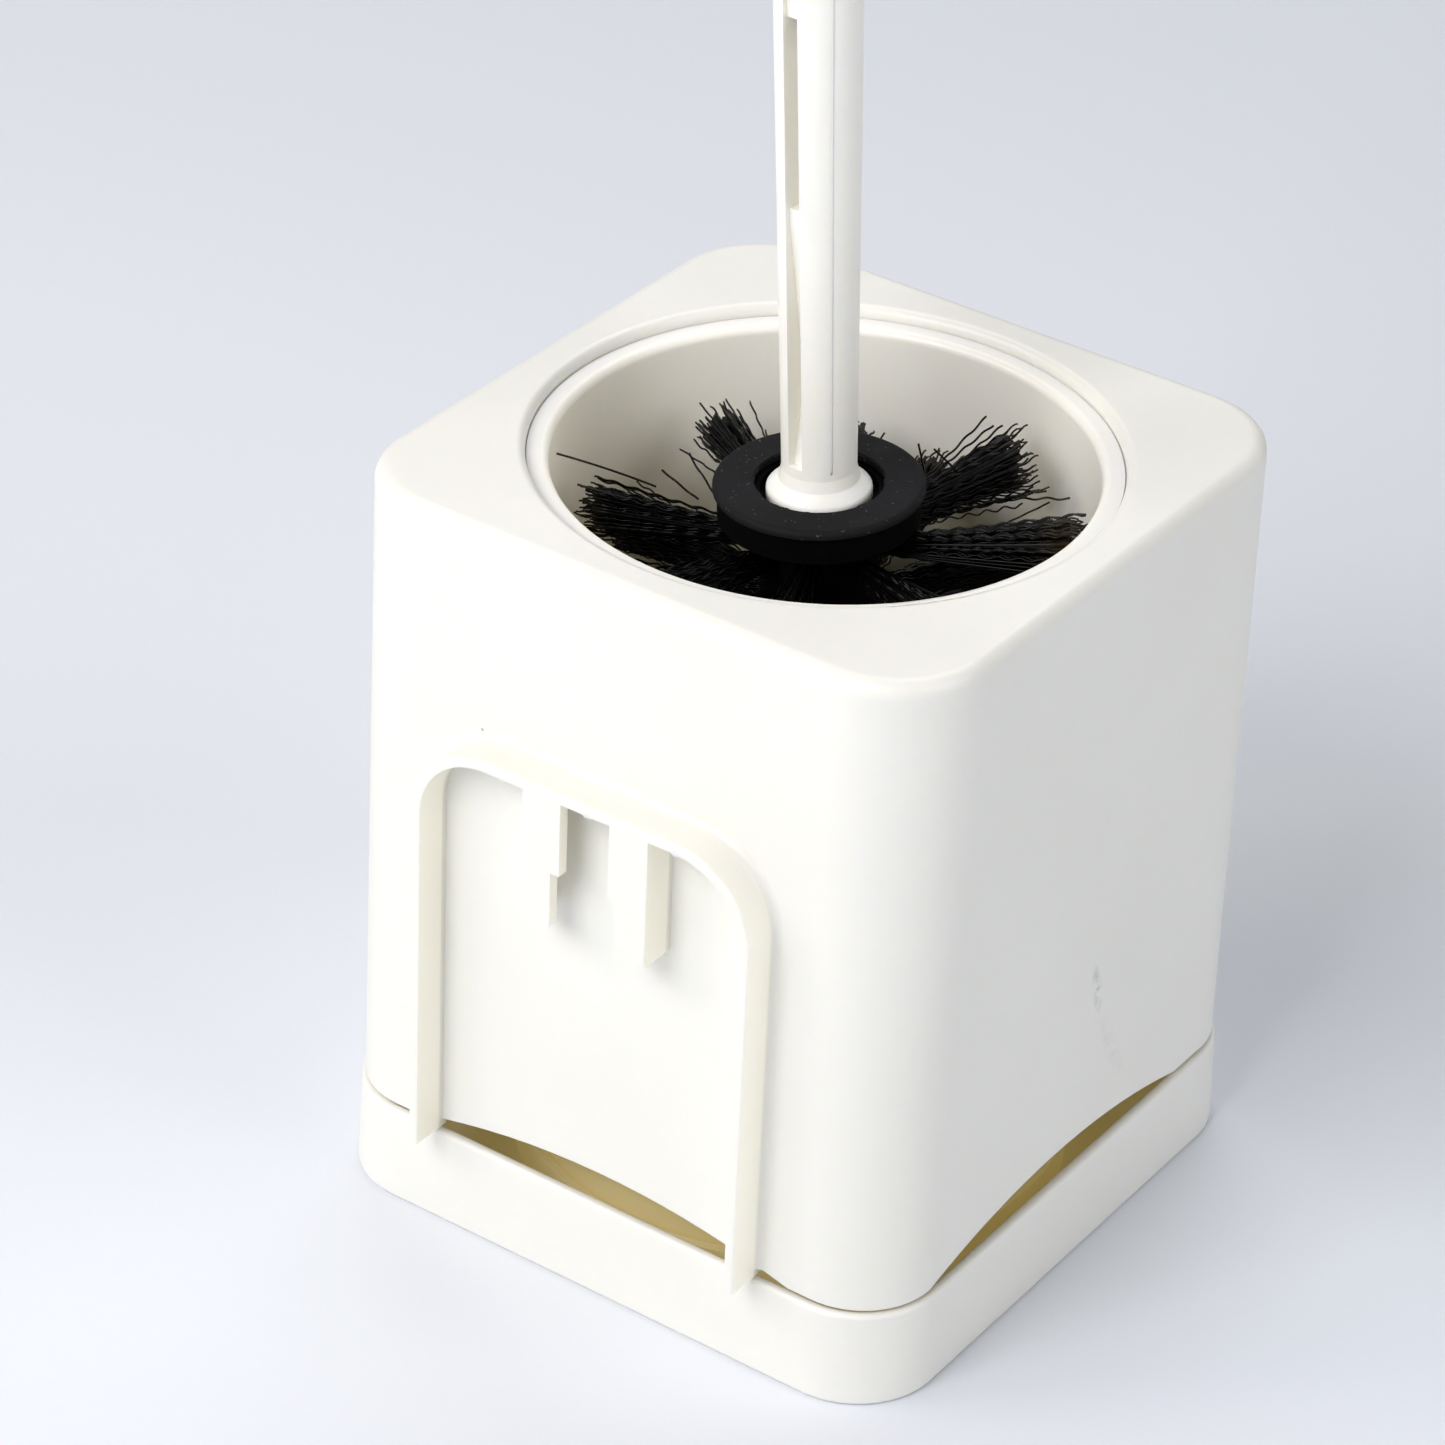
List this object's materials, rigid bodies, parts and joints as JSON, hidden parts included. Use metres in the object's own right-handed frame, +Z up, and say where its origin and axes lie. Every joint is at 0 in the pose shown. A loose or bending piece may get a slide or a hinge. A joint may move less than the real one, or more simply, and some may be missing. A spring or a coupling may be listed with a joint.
{
  "type": "toilet brush holder",
  "caption": "Square open-topped casing with a round inner tube on a drip tray, a wall-mount rail on its back, and a leaning brush with a slotted handle and black bristles.",
  "frame": {"origin": "middle of the drip tray's underside, on the surface that it stands on", "axes": "+Z up, along the casing; +Y out of the face with the wall-mount rail; +X sideways"},
  "size_m": [0.1126, 0.1182, 0.3853],
  "materials": {
    "white_plastic": "satin moulded, warm white",
    "tube_plastic": "satin moulded, warm white",
    "handle_plastic": "gloss moulded, warm white",
    "black_rubber": "matte",
    "black_plastic": "matte",
    "black_bristle": "crimped nylon",
    "staple_steel": "drawn flat wire"
  },
  "bodies": {
    "tray": {"drip_tray": "white_plastic"},
    "housing": {"casing": "white_plastic", "inner_tube": "tube_plastic"},
    "brush": {"brush_handle": "handle_plastic", "head_collar": "black_rubber", "head_core": "black_plastic", "bristle_ring_1": "black_bristle", "bristle_ring_2": "black_bristle", "bristle_ring_3": "black_bristle", "bristle_ring_4": "black_bristle", "bristle_ring_5": "black_bristle", "bristle_ring_6": "black_bristle", "bristle_ring_7": "black_bristle", "bristle_ring_8": "black_bristle", "bristle_ring_9": "black_bristle", "bristle_tip": "black_bristle", "tuft_staples": "staple_steel"}
  },
  "joints": [
    {"name": "casing_lift", "type": "slide", "parent": "tray", "child": "housing", "axis": [0, 0, 1], "range_m": [0, 0.12]},
    {"name": "brush_lift", "type": "slide", "parent": "tray", "child": "brush", "axis": [0.0405, 0.0273, 0.9988], "range_m": [0, 0.115]}
  ]
}
